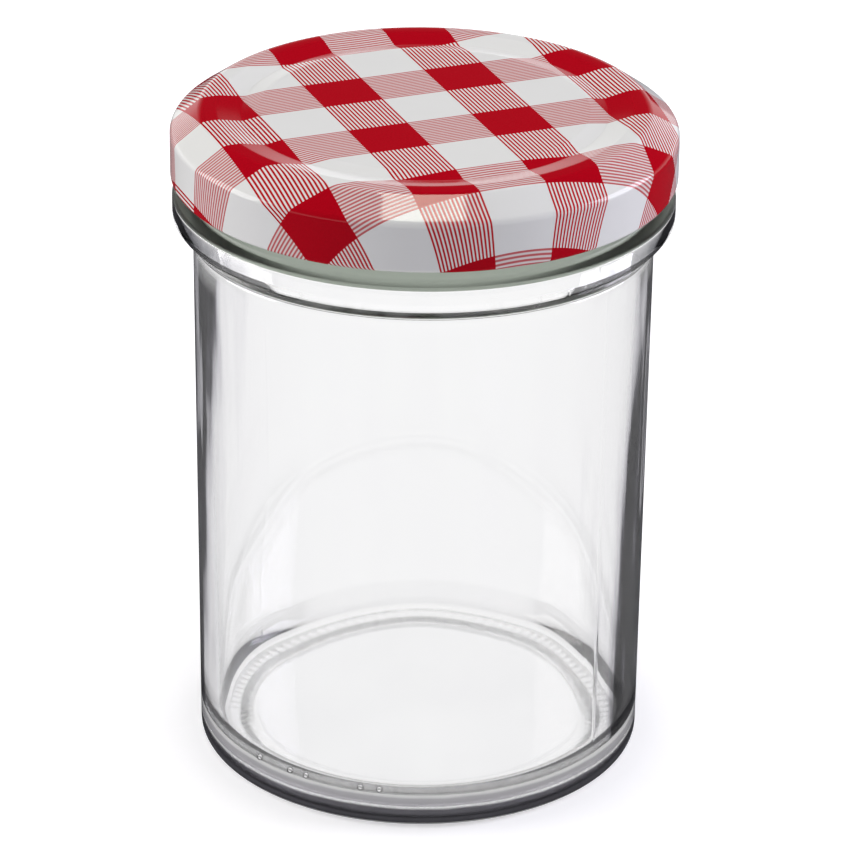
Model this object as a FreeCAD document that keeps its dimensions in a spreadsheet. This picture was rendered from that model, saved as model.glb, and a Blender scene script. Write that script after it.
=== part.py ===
"""A straight-walled preserving jar of clear glass, closed with a pressed steel lug cap.

The jar stands on its bearing ring, with +Z up and the origin on the floor in the middle
of the base. Three pieces make it: the glass, the cap, and the sealing ring that lies in
the cap's channel and rests on the mouth's rim. Every outline is a half section in the XZ
plane, revolved about Z. All sizes are in millimetres.
"""
import FreeCAD
import Part
import math
import os
import Sketcher

App = FreeCAD

# name, value or formula, what it is
SIZES = [
    # glass: driving sizes
    ("glass_height", "114.6", "floor to the top of the mouth's rim"),
    ("body_r", "39.05", "outer radius of the body under the neck"),
    ("body_draft", "0.4", "how much narrower the body is at its foot"),
    ("wall", "2.5", "thickness of the body wall at the neck"),
    ("inner_draft", "0.6", "how much narrower the inside is at the floor"),
    ("floor_thick", "2.6", "thickness of the floor over the push-up"),
    ("push_up", "1.5", "height of the push-up under the floor"),
    ("bearing_width", "6.0", "from the foot's side to the inner edge of the bearing ring"),
    ("push_slope", "3.0", "width of the slope between bearing ring and push-up"),
    ("heel_round", "1.6", "rounding of the heel"),
    ("push_round", "2.0", "rounding round the flat of the push-up"),
    ("bearing_round", "0.8", "rounding of the bearing ring's inner edge"),
    ("floor_round", "4.5", "rounding between wall and floor inside"),
    ("finish_step", "0.45", "how far the finish stands out from the body"),
    ("rim_round_in", "1.0", "rounding of the rim towards the mouth"),
    ("rim_round_out", "1.3", "rounding of the rim towards the cap"),
    ("bead_height", "3.8", "height of the bead's upright face"),
    ("bead_gap", "2.75", "clear height between the cap's edge and the bead"),
    ("bead_inset", "0.25", "how far the bead stays inside the cap"),
    ("bead_round", "0.7", "rounding of the bead's edges"),
    ("neck_drop", "3.6", "height of the slope from the bead down to the body"),
    ("neck_round", "5.0", "rounding between that slope and the body"),
    # threads: six short ridges that the cap's lugs slide under
    ("lug_count", "6", "number of lugs, and of thread ridges"),
    ("thread_depth", "1.4", "how far a ridge stands out of the finish"),
    ("thread_height", "1.9", "height of a ridge at its root"),
    ("thread_bevel", "0.55", "height of the slopes above and below a ridge's face"),
    ("thread_span", "44", "angle that one ridge covers, in degrees"),
    ("thread_pitch", "15", "climb of a ridge in one whole turn"),
    # cap: driving sizes
    ("cap_step", "3.25", "how far the cap's skirt stands out from the finish"),
    ("cap_height", "12.05", "height of the cap"),
    ("sheet", "0.3", "thickness of the printed steel"),
    ("panel_drop", "0.3", "depth of the panel below the crest"),
    ("groove_drop", "0.8", "depth of the groove round the panel, below the crest"),
    ("shoulder_drop", "3.55", "height of the slope from the crest to the skirt"),
    ("shoulder_width", "5.05", "width of that slope"),
    ("crest_width", "2.7", "width of the flat crest"),
    ("flank_width", "4.2", "width of the slope from the crest down to the groove"),
    ("groove_width", "3.1", "width of the slope from the groove up to the panel"),
    ("panel_round", "2.5", "rounding of the panel's edge"),
    ("groove_round", "1.5", "rounding in the groove"),
    ("crest_round", "2.2", "rounding of the crest's edges"),
    ("skirt_round", "1.5", "rounding from the shoulder to the skirt"),
    ("curl_r", "0.85", "outer radius of the curl round the cap's edge"),
    ("curl_flat", "0.2", "width of the curl's flat foot"),
    ("curl_leg", "0.45", "height of the curl's inner leg"),
    ("lug_width", "12", "angle that one lug covers, in degrees"),
    ("lug_reach", "0.95", "how far a lug reaches in under its ridge"),
    ("lug_thick", "1.0", "thickness of a folded lug"),
    ("lug_round", "0.3", "rounding of a lug's inner edge"),
    ("lug_gap", "0.3", "clearance between a lug and its ridge"),
    # sealing ring
    ("ring_thick", "2.1", "thickness of the sealing ring over the rim"),
    ("ring_gap", "0.12", "clearance of the ring from the channel's slopes"),
    ("ring_round", "0.35", "rounding of the sealing ring"),
    ("ring_overlap", "0.6", "how far the ring reaches past the finish outside"),
    # glass: radii and heights that follow
    ("foot_r", "=body_r - body_draft", "outer radius at the foot"),
    ("finish_r", "=body_r + finish_step", "outer radius of the finish"),
    ("mouth_r", "=body_r - wall", "inner radius at the mouth"),
    ("inner_r", "=mouth_r - inner_draft", "inner radius at the floor"),
    ("floor_z", "=push_up + floor_thick", "height of the floor inside"),
    ("bearing_r", "=foot_r - bearing_width", "inner radius of the bearing ring"),
    ("push_r", "=bearing_r - push_slope", "radius of the flat part of the push-up"),
    ("bead_r", "=cap_r - bead_inset", "outer radius of the bead"),
    ("bead_top", "=cap_foot - bead_gap", "upper edge of the bead"),
    ("bead_foot", "=bead_top - bead_height", "lower edge of the bead"),
    ("neck_z", "=bead_foot - neck_drop", "where the slope under the bead meets the body"),
    # cap: radii and heights that follow
    ("cap_r", "=finish_r + cap_step", "outer radius of the cap"),
    ("crest_z", "=glass_height + ring_thick + sheet", "top of the cap"),
    ("cap_foot", "=crest_z - cap_height", "lower edge of the cap"),
    ("panel_z", "=crest_z - panel_drop", "top of the panel"),
    ("groove_z", "=crest_z - groove_drop", "bottom of the groove"),
    ("shoulder_z", "=crest_z - shoulder_drop", "where the shoulder meets the skirt"),
    ("crest_r", "=cap_r - shoulder_width", "outer radius of the crest"),
    ("flank_r", "=crest_r - crest_width", "inner radius of the crest"),
    ("groove_r", "=flank_r - flank_width", "radius of the groove"),
    ("panel_r", "=groove_r - groove_width", "radius of the panel"),
    ("skirt_in", "=cap_r - sheet", "inner radius of the skirt"),
    ("curl_in", "=cap_r - 2 * curl_r - curl_flat", "inner radius of the curl"),
    ("curl_leg_r", "=curl_in + sheet", "outer radius of the curl's inner leg"),
    ("curl_leg_z", "=cap_foot + curl_r + curl_leg", "top of the curl's inner leg"),
    ("curl_floor", "=cap_foot + sheet", "upper side of the sheet in the curl"),
    ("curl_under_r", "=curl_r - sheet", "rounding inside the curl"),
    ("flank_tilt", "=atan(groove_drop / flank_width)", "slope of the flank"),
    ("groove_tilt", "=atan((groove_drop - panel_drop) / groove_width)",
     "slope from the groove up to the panel"),
    ("shoulder_tilt", "=atan(shoulder_drop / shoulder_width)", "slope of the shoulder"),
    # the sheet's underside, one thickness inside
    ("under_panel_z", "=panel_z - sheet", "underside of the panel"),
    ("under_crest_z", "=crest_z - sheet", "underside of the crest"),
    ("under_panel_r", "=panel_r - sheet * tan(groove_tilt / 2)", "panel's edge below"),
    ("under_groove_r",
     "=groove_r + sheet * (sin(flank_tilt) - sin(groove_tilt)) / (1 + cos(flank_tilt + groove_tilt))",
     "radius of the groove below"),
    ("under_groove_z",
     "=groove_z - sheet * (cos(flank_tilt) + cos(groove_tilt)) / (1 + cos(flank_tilt + groove_tilt))",
     "underside of the groove"),
    ("under_flank_r", "=flank_r + sheet * tan(flank_tilt / 2)", "crest's inner edge below"),
    ("under_crest_r", "=crest_r - sheet * tan(shoulder_tilt / 2)", "crest's outer edge below"),
    ("under_shoulder_z",
     "=shoulder_z + sheet * (tan(shoulder_tilt) - 1 / cos(shoulder_tilt))", "shoulder's foot below"),
    ("panel_round_under", "=panel_round - sheet", "rounding under the panel's edge"),
    ("groove_round_under", "=groove_round + sheet", "rounding under the groove"),
    ("crest_round_under", "=crest_round - sheet", "rounding under the crest's edges"),
    ("skirt_round_under", "=skirt_round - sheet", "rounding inside the skirt's top"),
    # the threads and the lugs under them
    ("thread_r", "=finish_r + thread_depth", "outer radius of a ridge"),
    ("thread_root_r", "=finish_r - wall / 4", "where a ridge starts inside the wall"),
    ("lug_r", "=thread_r - lug_reach", "inner radius of a lug"),
    ("lug_root_r", "=curl_in + sheet / 2", "where a lug starts inside the curl"),
    ("lug_foot", "=cap_foot + sheet", "underside of a lug"),
    ("lug_top", "=lug_foot + lug_thick", "upper side of a lug"),
    ("lug_turn", "=lug_width / 2 + 1", "angle from a ridge's low end to its lug's middle"),
    ("thread_foot", "=lug_top + lug_gap", "underside of a ridge at its low end"),
    ("ridge_low", "=thread_foot + thread_bevel", "lower edge of a ridge's face"),
    ("ridge_high", "=thread_foot + thread_height - thread_bevel", "upper edge of a ridge's face"),
    ("ridge_top", "=thread_foot + thread_height", "top of a ridge at its root"),
    # the sealing ring under the crest
    ("ring_in", "=under_flank_r + ring_gap", "inner radius of the sealing ring"),
    ("ring_top_r", "=under_crest_r - ring_gap", "outer radius of the ring's top"),
    ("ring_out", "=finish_r + ring_overlap", "outer radius of the sealing ring"),
    ("ring_side_z",
     "=under_crest_z - (ring_out - ring_top_r) * tan(shoulder_tilt)", "top of its outer side"),
]


def make_sheet(doc):
    """The spreadsheet that holds every size: name, value and meaning in one row each."""
    sheet = doc.addObject("Spreadsheet::Sheet", "Sheet")
    for row, (name, value, meaning) in enumerate(SIZES, start=1):
        sheet.set(f"A{row}", name)
        sheet.setAlias(f"B{row}", name)
        sheet.set(f"C{row}", meaning)
    for row, (name, value, meaning) in enumerate(SIZES, start=1):
        sheet.set(f"B{row}", value)
    doc.recompute()
    return sheet


def size(sheet, name):
    """The present value of a named size, as a plain number."""
    value = sheet.get(name)
    return float(getattr(value, "Value", value))


def origin_part(body, role):
    """One of the body's own origin planes or axes."""
    return next(part for part in body.Origin.OriginFeatures if part.Role == role)


class Outline:
    """A closed half section in the XZ plane whose corners are bound to the spreadsheet.

    A corner is (radius name, height name) or (radius name, height name, rounding name).
    A radius name of None puts the corner on the Z axis, a height name of None on the X axis.
    """

    def __init__(self, body, sheet, name):
        self.sheet = sheet
        self.sketch = body.newObject("Sketcher::SketchObject", name)
        self.sketch.AttachmentSupport = [(origin_part(body, "XZ_Plane"), "")]
        self.sketch.MapMode = "FlatFace"

    def bind(self, kind, *where, to):
        """Add a sized constraint and tie it to a name in the spreadsheet."""
        index = self.sketch.addConstraint(Sketcher.Constraint(kind, *where, size(self.sheet, to)))
        self.sketch.setExpression(f"Constraints[{index}]", f"Sheet.{to}")

    def place(self, geometry, point, radius, height):
        """Hold one point of the sketch at a named radius and height."""
        if radius is None:
            self.sketch.addConstraint(Sketcher.Constraint("PointOnObject", geometry, point, -2))
        else:
            self.bind("DistanceX", -1, 1, geometry, point, to=radius)
        if height is None:
            self.sketch.addConstraint(Sketcher.Constraint("PointOnObject", geometry, point, -1))
        else:
            self.bind("DistanceY", -1, 1, geometry, point, to=height)

    def where(self, corner):
        """A corner's present position in the sketch."""
        radius = 0.0 if corner[0] is None else size(self.sheet, corner[0])
        height = 0.0 if corner[1] is None else size(self.sheet, corner[1])
        return App.Vector(radius, height, 0)

    def close(self, corners):
        """Draw the whole outline, rounding the corners that name a rounding."""
        count = len(corners)
        points = [self.where(corner) for corner in corners]
        starts = list(points)
        ends = list(points)
        arcs = {}
        for i, corner in enumerate(corners):
            if len(corner) == 3:
                shape = round_corner(points[i - 1], points[i], points[(i + 1) % count],
                                     size(self.sheet, corner[2]))
                ends[i], starts[i], arcs[i] = shape
        lines = [self.sketch.addGeometry(Part.LineSegment(starts[i], ends[(i + 1) % count]), False)
                 for i in range(count)]
        for i, corner in enumerate(corners):
            before = lines[i - 1]
            after = lines[i]
            if len(corner) == 2:
                self.sketch.addConstraint(Sketcher.Constraint("Coincident", before, 2, after, 1))
                self.place(after, 1, corner[0], corner[1])
                continue
            self.round_off(before, after, arcs[i], points[i], corner)
        return self.sketch

    def round_off(self, before, after, arc, point, corner):
        """Join two lines with a tangent arc and hold the sharp corner that they aim at."""
        sketch = self.sketch
        curve = sketch.addGeometry(arc, False)
        first_end = 1 if arc.StartPoint.isEqual(self.end_of(before), 1e-6) else 2
        sketch.addConstraint(Sketcher.Constraint("Tangent", before, 2, curve, first_end))
        sketch.addConstraint(Sketcher.Constraint("Tangent", after, 1, curve, 3 - first_end))
        self.bind("Radius", curve, to=corner[2])
        tip = sketch.addGeometry(Part.Point(point), True)
        self.place(tip, 1, corner[0], corner[1])
        sketch.addConstraint(Sketcher.Constraint("PointOnObject", tip, 1, before))
        sketch.addConstraint(Sketcher.Constraint("PointOnObject", tip, 1, after))

    def end_of(self, line):
        """The far end of one of the sketch's lines."""
        return self.sketch.Geometry[line].EndPoint


def round_corner(before, corner, after, radius):
    """Where a tangent arc of this radius leaves and joins the two sides of a corner."""
    back = (before - corner).normalize()
    ahead = (after - corner).normalize()
    half = back.getAngle(ahead) / 2
    reach = radius / math.tan(half)
    first = corner + back * reach
    last = corner + ahead * reach
    centre = corner + (back + ahead).normalize() * (radius / math.sin(half))
    middle = centre + (corner - centre).normalize() * radius
    circle = Part.Circle(centre, App.Vector(0, 0, 1), radius)
    return first, last, Part.ArcOfCircle(circle, *angles_between(centre, first, middle, last))


def angles_between(centre, first, middle, last):
    """Start and end angle of the arc, counter-clockwise as a sketch keeps it."""
    angles = [math.atan2(p.y - centre.y, p.x - centre.x) for p in (first, middle, last)]
    turn = 2 * math.pi
    if (angles[1] - angles[0]) % turn < (angles[2] - angles[0]) % turn:
        return angles[0], angles[0] + (angles[2] - angles[0]) % turn
    return angles[2], angles[2] + (angles[0] - angles[2]) % turn


def revolve(body, sketch, name):
    """Turn a half section round the Z axis."""
    solid = body.newObject("PartDesign::Revolution", name)
    solid.Profile = sketch
    solid.ReferenceAxis = (sketch, ["V_Axis"])
    solid.Angle = 360
    sketch.Visibility = False
    return solid


def repeat(body, feature, name):
    """Repeat one feature evenly round the Z axis, as often as there are lugs."""
    pattern = body.newObject("PartDesign::PolarPattern", name)
    pattern.Originals = [feature]
    pattern.Axis = (origin_part(body, "Z_Axis"), [""])
    pattern.Angle = 360
    pattern.setExpression("Occurrences", "Sheet.lug_count")
    body.Tip = pattern
    return pattern


def make_glass(doc, sheet):
    """The jar: base with push-up, straight wall, bead, and a finish with thread ridges."""
    body = doc.addObject("PartDesign::Body", "jar_glass")
    section = Outline(body, sheet, "GlassSection").close([
        (None, "push_up"),
        ("push_r", "push_up", "push_round"),
        ("bearing_r", None, "bearing_round"),
        ("foot_r", None, "heel_round"),
        ("body_r", "neck_z", "neck_round"),
        ("bead_r", "bead_foot", "bead_round"),
        ("bead_r", "bead_top", "bead_round"),
        ("finish_r", "bead_top", "bead_round"),
        ("finish_r", "glass_height", "rim_round_out"),
        ("mouth_r", "glass_height", "rim_round_in"),
        ("inner_r", "floor_z", "floor_round"),
        (None, "floor_z"),
    ])
    revolve(body, section, "GlassBody")
    doc.recompute()

    ridge_section = Outline(body, sheet, "RidgeSection").close([
        ("thread_root_r", "thread_foot"),
        ("finish_r", "thread_foot"),
        ("thread_r", "ridge_low"),
        ("thread_r", "ridge_high"),
        ("finish_r", "ridge_top"),
        ("thread_root_r", "ridge_top"),
    ])
    ridge = body.newObject("PartDesign::AdditiveHelix", "Ridge")
    ridge.Profile = ridge_section
    ridge.ReferenceAxis = (ridge_section, ["V_Axis"])
    ridge.Mode = "pitch-height-angle"
    ridge.setExpression("Pitch", "Sheet.thread_pitch")
    ridge.setExpression("Height", "Sheet.thread_pitch * Sheet.thread_span / 360")
    doc.recompute()
    repeat(body, ridge, "Ridges")
    return body


def make_cap(doc, sheet):
    """The cap: one drawn sheet with panel, groove, crest, shoulder, skirt and curl, and its lugs."""
    body = doc.addObject("PartDesign::Body", "lid_shell")
    section = Outline(body, sheet, "SheetSection").close([
        (None, "under_panel_z"),
        ("under_panel_r", "under_panel_z", "panel_round_under"),
        ("under_groove_r", "under_groove_z", "groove_round_under"),
        ("under_flank_r", "under_crest_z", "crest_round_under"),
        ("under_crest_r", "under_crest_z", "crest_round_under"),
        ("skirt_in", "under_shoulder_z", "skirt_round_under"),
        ("skirt_in", "curl_floor", "curl_under_r"),
        ("curl_leg_r", "curl_floor", "curl_under_r"),
        ("curl_leg_r", "curl_leg_z"),
        ("curl_in", "curl_leg_z"),
        ("curl_in", "cap_foot", "curl_r"),
        ("cap_r", "cap_foot", "curl_r"),
        ("cap_r", "shoulder_z", "skirt_round"),
        ("crest_r", "crest_z", "crest_round"),
        ("flank_r", "crest_z", "crest_round"),
        ("groove_r", "groove_z", "groove_round"),
        ("panel_r", "panel_z", "panel_round"),
        (None, "panel_z"),
    ])
    revolve(body, section, "DrawnSheet")
    doc.recompute()

    lug_section = Outline(body, sheet, "LugSection").close([
        ("lug_r", "lug_foot", "lug_round"),
        ("lug_root_r", "lug_foot"),
        ("lug_root_r", "lug_top"),
        ("lug_r", "lug_top", "lug_round"),
    ])
    lug = revolve(body, lug_section, "Lug")
    lug.Midplane = True
    lug.setExpression("Angle", "Sheet.lug_width")
    doc.recompute()
    repeat(body, lug, "Lugs")
    # screwed down until each lug lies under the low end of its ridge
    body.setExpression("Placement.Rotation.Angle", "Sheet.lug_turn")
    return body


def make_ring(doc, sheet):
    """The soft sealing ring in the channel under the crest, pressed onto the rim."""
    body = doc.addObject("PartDesign::Body", "lid_gasket")
    section = Outline(body, sheet, "RingSection").close([
        ("ring_in", "glass_height", "ring_round"),
        ("ring_out", "glass_height"),
        ("ring_out", "ring_side_z"),
        ("ring_top_r", "under_crest_z", "crest_round"),
        ("ring_in", "under_crest_z", "ring_round"),
    ])
    revolve(body, section, "SealingRing")
    return body


def check(doc, bodies):
    """Stop if anything failed to rebuild, or a sub-part is empty or broken."""
    for thing in doc.Objects:
        if "Invalid" in thing.State or "Error" in thing.State:
            raise RuntimeError(f"{thing.Label} failed: {thing.State}")
    for body in bodies:
        if body.Shape.isNull() or not body.Shape.isValid() or len(body.Shape.Solids) != 1:
            raise RuntimeError(f"{body.Label} is not one sound solid")


def main():
    doc = App.newDocument("Jar")
    sheet = make_sheet(doc)
    bodies = [make_glass(doc, sheet), make_cap(doc, sheet), make_ring(doc, sheet)]
    doc.recompute()
    check(doc, bodies)
    os.makedirs("parts", exist_ok=True)
    for body in bodies:
        body.Shape.exportStep(f"parts/{body.Label}.step")
        print(f"{body.Label}: {body.Shape.Volume:.0f} mm3")


main()
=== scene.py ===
# %% [markdown]
# # A preserving jar with a checked cap
# This lesson dresses a jar that was drawn in CAD: a straight glass body with a thick base, a bead
# under its mouth, and a pressed steel cap printed with a gingham check. The CAD model says where
# everything is. Blender adds what a maker of glass and tinplate would look for: the slight waves
# that a mould leaves inside the wall, the knurled ring under the base, the mould's seam, and a
# print that was laid on a flat sheet and stretched when the cap was drawn.

# %% Load the CAD model as a fixed frame
import math

import bpy
import numpy as np
from mathutils import Matrix, Vector, noise


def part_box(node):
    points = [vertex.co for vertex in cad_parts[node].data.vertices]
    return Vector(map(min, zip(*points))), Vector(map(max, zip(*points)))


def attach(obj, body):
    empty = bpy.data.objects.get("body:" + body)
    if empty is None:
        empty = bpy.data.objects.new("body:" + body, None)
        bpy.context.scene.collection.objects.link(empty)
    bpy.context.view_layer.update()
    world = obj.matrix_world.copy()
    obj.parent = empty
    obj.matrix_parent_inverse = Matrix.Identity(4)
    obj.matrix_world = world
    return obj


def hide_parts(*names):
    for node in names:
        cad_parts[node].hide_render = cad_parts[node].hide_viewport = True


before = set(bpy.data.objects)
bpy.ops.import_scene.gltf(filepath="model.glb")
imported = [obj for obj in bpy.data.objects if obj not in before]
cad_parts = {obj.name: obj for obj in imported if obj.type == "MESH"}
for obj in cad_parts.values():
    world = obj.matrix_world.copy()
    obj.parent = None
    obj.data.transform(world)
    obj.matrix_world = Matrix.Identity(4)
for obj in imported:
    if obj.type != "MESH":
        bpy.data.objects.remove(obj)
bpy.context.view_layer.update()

MM = 0.001

# %% [markdown]
# ## Sizes
# The overall sizes are read from the CAD pieces' boxes, so that the looks follow the model. What a
# box can't say, such as a rounding or the slope of a shoulder, is a named value in millimetres.

# %% Sizes that come from the CAD pieces
def box_mm(node):
    """A CAD node's lowest and highest corner, in millimetres."""
    low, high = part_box(node)
    return np.array(low) / MM, np.array(high) / MM


glass_high = box_mm("jar_glass")[1]
cap_low, cap_high = box_mm("lid_shell")
ring_high = box_mm("lid_gasket")[1]

CAP_R = cap_high[0]
CAP_FOOT = cap_low[2]
CAP_TOP = cap_high[2]
RIM_Z = glass_high[2]
BEAD_R = glass_high[0]
SHEET = CAP_TOP - ring_high[2]
print(f"cap {2 * CAP_R:.1f} mm across, {CAP_TOP - CAP_FOOT:.1f} mm high; rim at {RIM_Z:.1f} mm")

# %% Sizes of the glass
FINISH_R = 39.5
BODY_R = 39.05
FOOT_R = 38.65
MOUTH_R = 36.55
INNER_R = 35.95
FLOOR_Z = 4.1
PUSH_UP = 1.5
BEARING_R = 32.65
PUSH_R = 29.65
BEAD_TOP = CAP_FOOT - 2.75
BEAD_FOOT = BEAD_TOP - 3.8
NECK_Z = BEAD_FOOT - 3.6
print(f"bead from {BEAD_FOOT:.1f} to {BEAD_TOP:.1f} mm, floor of the jar at {FLOOR_Z} mm")

# %% [markdown]
# ## Turning an outline
# Glass and cap are both turned shapes. An outline is a short list of corners, each with the
# rounding that the real piece has there. It could be drawn as a curve with a Screw modifier, but a
# mesh made in code keeps the length along the outline, which the print and the waves need.

# %% Outlines from rounded corners
def rounded(corners, arc_step=12.0, longest=3.0):
    """Points along an outline whose corners are (radius, height) or (radius, height, rounding)."""
    corners = [np.array(c, float) for c in corners]
    stops = []
    for i, corner in enumerate(corners):
        here = corner[:2]
        if len(corner) == 2 or i in (0, len(corners) - 1):
            stops.append([here])
            continue
        back = corners[i - 1][:2] - here
        ahead = corners[i + 1][:2] - here
        back /= np.linalg.norm(back)
        ahead /= np.linalg.norm(ahead)
        half = math.acos(np.clip(back @ ahead, -1, 1)) / 2
        reach = corner[2] / math.tan(half)
        centre = here + (back + ahead) / np.linalg.norm(back + ahead) * corner[2] / math.sin(half)
        first = here + back * reach - centre
        last = here + ahead * reach - centre
        turn = math.pi - 2 * half
        side = math.copysign(1, first[0] * last[1] - first[1] * last[0])
        steps = max(2, math.ceil(math.degrees(turn) / arc_step))
        stops.append([centre + rotated(first, side * turn * k / steps) for k in range(steps + 1)])
    points = list(stops[0])
    for stop in stops[1:]:
        gap = stop[0] - points[-1]
        parts = max(1, math.ceil(np.linalg.norm(gap) / longest))
        points += [points[-1] + gap * k / parts for k in range(1, parts + 1)]
        points += stop[1:]
    return np.array(points)


def rotated(vector, angle):
    """A 2D vector turned by an angle."""
    c, s = math.cos(angle), math.sin(angle)
    return np.array([c * vector[0] - s * vector[1], s * vector[0] + c * vector[1]])


print("a square corner rounded by 1 mm gets", len(rounded([(0, 0), (5, 0, 1), (5, 5)])), "points")

# %% Turned meshes
def turned(name, outline, angles, shape=None):
    """A closed mesh: the outline turned about Z through all angles, its ends on the axis.

    shape(radius, height, angle, row) may return moved radii and heights for the mould's marks.
    """
    rows = len(outline) - 2
    columns = len(angles)
    angle = np.tile(angles, rows)
    row = np.repeat(np.arange(1, rows + 1), columns)
    radius, height = outline[row, 0], outline[row, 1]
    if shape:
        radius, height = shape(radius, height, angle, row)
    ring = np.stack([radius * np.cos(angle), radius * np.sin(angle), height], 1)
    ends = np.array([[0, 0, outline[0, 1]], [0, 0, outline[-1, 1]]])
    points = np.concatenate([ring, ends]) * MM
    first_end, last_end = len(ring), len(ring) + 1
    faces = []
    for r in range(rows - 1):
        for c in range(columns):
            a, b = r * columns + c, r * columns + (c + 1) % columns
            faces.append((a, b, b + columns, a + columns))
    top = (rows - 1) * columns
    for c in range(columns):
        d = (c + 1) % columns
        faces.append((first_end, d, c))
        faces.append((last_end, top + c, top + d))
    mesh = bpy.data.meshes.new(name)
    mesh.from_pydata(points.tolist(), [], faces)
    mesh.shade_smooth()
    made = bpy.data.objects.new(name, mesh)
    bpy.context.scene.collection.objects.link(made)
    print(f"{name}: {len(points)} points, {len(faces)} faces, volume {volume_of(mesh):.1f} cm3")
    return made


def volume_of(mesh):
    """Signed volume in cubic centimetres: positive where the faces point outwards."""
    total = 0.0
    for face in mesh.polygons:
        corners = [mesh.vertices[i].co for i in face.vertices]
        for b, c in zip(corners[1:-1], corners[2:]):
            total += corners[0].dot(b.cross(c)) / 6
    return total * 1e6


# %% [markdown]
# ## The glass
# The jar is pressed and blown glass. Its outside took the mould's shape and is true; its inside
# followed the air and is a little wavy, which bends the light at both sides. So the inner wall gets
# slow waves, longer up the jar than round it, and the soft dark bands at both sides are deepened by
# painted shade on the outer skin. Two halves of the mould met in a fine upright seam, and the ridges
# for the cap's lugs are part of the outside.

# %% The glass outline, from the middle of the push-up round to the floor inside
BEAD_ROUND = 0.7
SHANK = (FINISH_R, BEAD_TOP + 3)
THROAT = (MOUTH_R - 0.02, RIM_Z - 4)
outside = rounded([
    (0, PUSH_UP), (PUSH_R, PUSH_UP, 2.0), (BEARING_R, 0, 0.8), (FOOT_R, 0, 1.6),
    (BODY_R, NECK_Z, 5.0), (BEAD_R, BEAD_FOOT, BEAD_ROUND), (BEAD_R, BEAD_TOP, BEAD_ROUND),
    (FINISH_R, BEAD_TOP, BEAD_ROUND), SHANK], arc_step=11, longest=3.5)
rim = rounded([SHANK, (FINISH_R, RIM_Z, 1.3), (MOUTH_R, RIM_Z, 1.0), THROAT],
              arc_step=15, longest=0.4)
inside = rounded([THROAT, (INNER_R, FLOOR_Z, 4.5), (0, FLOOR_Z)], arc_step=7, longest=2.4)
glass_outline = np.concatenate([outside, rim[1:], inside[1:]])
INSIDE_ROW = len(outside) + len(rim) - 2
print(f"glass outline: {len(glass_outline)} points")

# %% The mould's marks on it
SEAM_AT = math.radians(-38.5)
SEAMS = (SEAM_AT, SEAM_AT + math.pi)
SEAM_FOOT = 3
SEAM_HEIGHT = 0.03
SEAM_WIDTH = 0.3
WAVE_HEIGHT = 0.32
WAVE_LENGTH = 34.0
WAVES_ROUND = 1.7


def mould_marks(radius, height, angle, row):
    """The moved radii and heights of the glass's points."""
    outer = row <= INSIDE_ROW
    seam = np.zeros_like(radius)
    for at in SEAMS:
        off = np.mod(angle - at + math.pi, 2 * math.pi) - math.pi
        seam += SEAM_HEIGHT * np.exp(-(off * radius / SEAM_WIDTH) ** 2)
    upright = outer & (height > SEAM_FOOT) & (height < BEAD_FOOT)
    radius = radius + np.where(upright, seam, 0)
    fade = np.clip((height - FLOOR_Z - 4) / 8, 0, 1) * np.clip((RIM_Z - 6 - height) / 10, 0, 1)
    waves = np.array([noise.noise(Vector((WAVES_ROUND * math.cos(a), WAVES_ROUND * math.sin(a),
                                          h / WAVE_LENGTH))) for a, h in zip(angle, height)])
    radius = radius + np.where(outer, 0, waves * WAVE_HEIGHT * fade)
    return radius, height


print(f"seams stand {SEAM_HEIGHT} mm proud, waves move the inner wall by up to {WAVE_HEIGHT} mm")

# %% The glass, with extra columns at the seams
even = np.linspace(0, 2 * math.pi, 360, endpoint=False)
near_seam = [at + math.radians(d) for at in SEAMS for d in np.linspace(-1.2, 1.2, 13)]
columns = np.unique(np.round(np.mod(np.concatenate([even, near_seam]), 2 * math.pi), 6))
glass = turned("clear_jar", glass_outline, columns, mould_marks)

# %% Which points are outside: the finish needs to know
skin = glass.data.attributes.new("outer_skin", "FLOAT", "POINT")
rows = np.repeat(np.arange(1, len(glass_outline) - 1), len(columns)) <= INSIDE_ROW
skin.data.foreach_set("value", np.concatenate([rows, [True, False]]).astype(float))
print(f"{np.count_nonzero(rows)} of {len(rows)} points are on the outer skin")

# %% [markdown]
# ## The cap
# The cap was cut as a disc from a printed sheet and drawn over a punch. Metal keeps its area as it
# is drawn, so a point of the skirt was once further out on the flat disc. That gives the print its
# coordinates: each ring of the outline keeps the radius of the flat disc with the same area.

# %% The cap outline: underside, curl, then the printed outside
CREST_R = CAP_R - 5.05
FLANK_R = CREST_R - 2.7
GROOVE_R = FLANK_R - 4.2
PANEL_R = GROOVE_R - 3.1
PANEL_Z = CAP_TOP - 0.3
GROOVE_Z = CAP_TOP - 0.8
SHOULDER_Z = CAP_TOP - 3.55
CURL_R = 0.85
CURL_IN = CAP_R - 2 * CURL_R - 0.2
LEG_TOP = CAP_FOOT + CURL_R + 0.45
shoulder_tilt = math.atan2(CAP_TOP - SHOULDER_Z, CAP_R - CREST_R)
under_shoulder_z = SHOULDER_Z + SHEET * (math.tan(shoulder_tilt) - 1 / math.cos(shoulder_tilt))
lining = rounded([
    (0, PANEL_Z - SHEET), (PANEL_R, PANEL_Z - SHEET, 2.2), (GROOVE_R, GROOVE_Z - SHEET, 1.8),
    (FLANK_R, CAP_TOP - SHEET, 1.9),
    (CREST_R - SHEET * math.tan(shoulder_tilt / 2), CAP_TOP - SHEET, 1.9),
    (CAP_R - SHEET, under_shoulder_z, 1.2),
    (CAP_R - SHEET, CAP_FOOT + SHEET, CURL_R - SHEET),
    (CURL_IN + SHEET, CAP_FOOT + SHEET, CURL_R - SHEET),
    (CURL_IN + SHEET, LEG_TOP), (CURL_IN, LEG_TOP)], arc_step=10, longest=2.0)
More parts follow.
